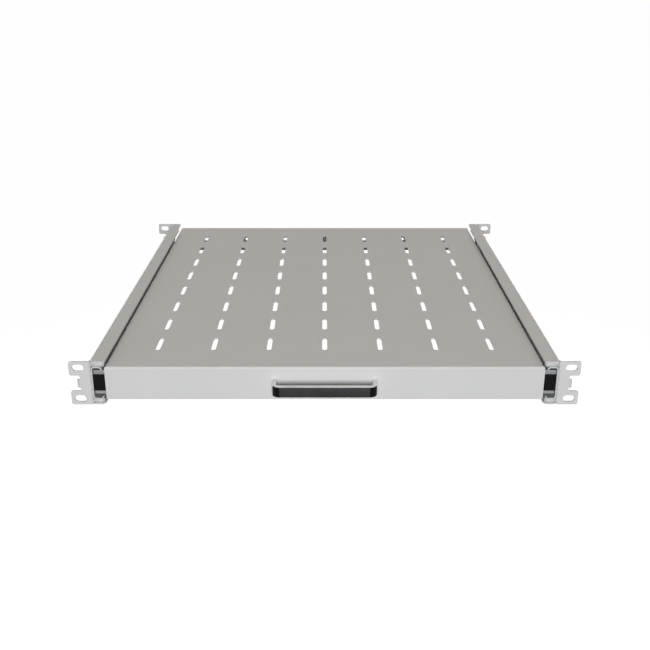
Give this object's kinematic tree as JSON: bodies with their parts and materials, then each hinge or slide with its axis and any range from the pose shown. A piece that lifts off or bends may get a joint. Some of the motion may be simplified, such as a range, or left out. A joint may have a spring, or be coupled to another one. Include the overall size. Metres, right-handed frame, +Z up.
{
  "type": "sliding rack shelf",
  "caption": "Vented steel shelf for a 19-inch rack, sliding out on ball-bearing telescopic slides between two rails with slotted ears, with a bow handle on its front panel.",
  "frame": {"origin": "centre of the front ears' slot pattern, in the plane where the ears meet the front rack posts", "axes": "+X to the right seen from the front, +Y from the front to the rear of the rack, +Z up"},
  "size_m": [0.4826, 0.5208, 0.0444],
  "materials": {
    "grey_powder_coat": "light grey powder coat, fine satin texture",
    "zinc_plated_steel": "cold-rolled steel with bright zinc plate",
    "bare_cage_steel": "thin stamped steel, oiled",
    "bearing_steel": "polished bearing steel",
    "black_plastic": "moulded, fine matt texture",
    "grey_plastic": "moulded, satin",
    "black_rubber": "moulded rubber"
  },
  "bodies": {
    "rails": {"left_rail": "grey_powder_coat", "right_rail": "grey_powder_coat", "left_outer_member": "zinc_plated_steel", "right_outer_member": "zinc_plated_steel", "left_rail_screws": "zinc_plated_steel", "right_rail_screws": "zinc_plated_steel", "left_rear_bumper": "black_rubber", "right_rear_bumper": "black_rubber"},
    "shelf": {"tray": "grey_powder_coat", "handle_bow": "grey_plastic", "handle_grip": "black_plastic", "left_inner_member": "zinc_plated_steel", "right_inner_member": "zinc_plated_steel", "left_inner_screws": "zinc_plated_steel", "right_inner_screws": "zinc_plated_steel", "left_end_cap": "black_plastic", "right_end_cap": "black_plastic"},
    "left_middle": {"left_middle_member": "zinc_plated_steel"},
    "left_outer_race": {"left_outer_cage": "bare_cage_steel", "left_outer_balls": "bearing_steel"},
    "left_inner_race": {"left_inner_cage": "bare_cage_steel", "left_inner_balls": "bearing_steel"},
    "right_middle": {"right_middle_member": "zinc_plated_steel"},
    "right_outer_race": {"right_outer_cage": "bare_cage_steel", "right_outer_balls": "bearing_steel"},
    "right_inner_race": {"right_inner_cage": "bare_cage_steel", "right_inner_balls": "bearing_steel"}
  },
  "joints": [
    {"name": "shelf_slide", "type": "slide", "parent": "rails", "child": "shelf", "axis": [0, -1, 0], "range_m": [0, 0.4]},
    {"name": "left_middle_slide", "type": "slide", "parent": "rails", "child": "left_middle", "axis": [0, -1, 0], "range_m": [0, 0.2]},
    {"name": "left_outer_race_slide", "type": "slide", "parent": "rails", "child": "left_outer_race", "axis": [0, -1, 0], "range_m": [0, 0.1]},
    {"name": "left_inner_race_slide", "type": "slide", "parent": "rails", "child": "left_inner_race", "axis": [0, -1, 0], "range_m": [0, 0.3]},
    {"name": "right_middle_slide", "type": "slide", "parent": "rails", "child": "right_middle", "axis": [0, -1, 0], "range_m": [0, 0.2]},
    {"name": "right_outer_race_slide", "type": "slide", "parent": "rails", "child": "right_outer_race", "axis": [0, -1, 0], "range_m": [0, 0.1]},
    {"name": "right_inner_race_slide", "type": "slide", "parent": "rails", "child": "right_inner_race", "axis": [0, -1, 0], "range_m": [0, 0.3]}
  ],
  "couplings": [
    {"joint": "left_middle_slide", "follows": "shelf_slide", "ratio": 0.5},
    {"joint": "left_outer_race_slide", "follows": "shelf_slide", "ratio": 0.25},
    {"joint": "left_inner_race_slide", "follows": "shelf_slide", "ratio": 0.75},
    {"joint": "right_middle_slide", "follows": "shelf_slide", "ratio": 0.5},
    {"joint": "right_outer_race_slide", "follows": "shelf_slide", "ratio": 0.25},
    {"joint": "right_inner_race_slide", "follows": "shelf_slide", "ratio": 0.75}
  ]
}
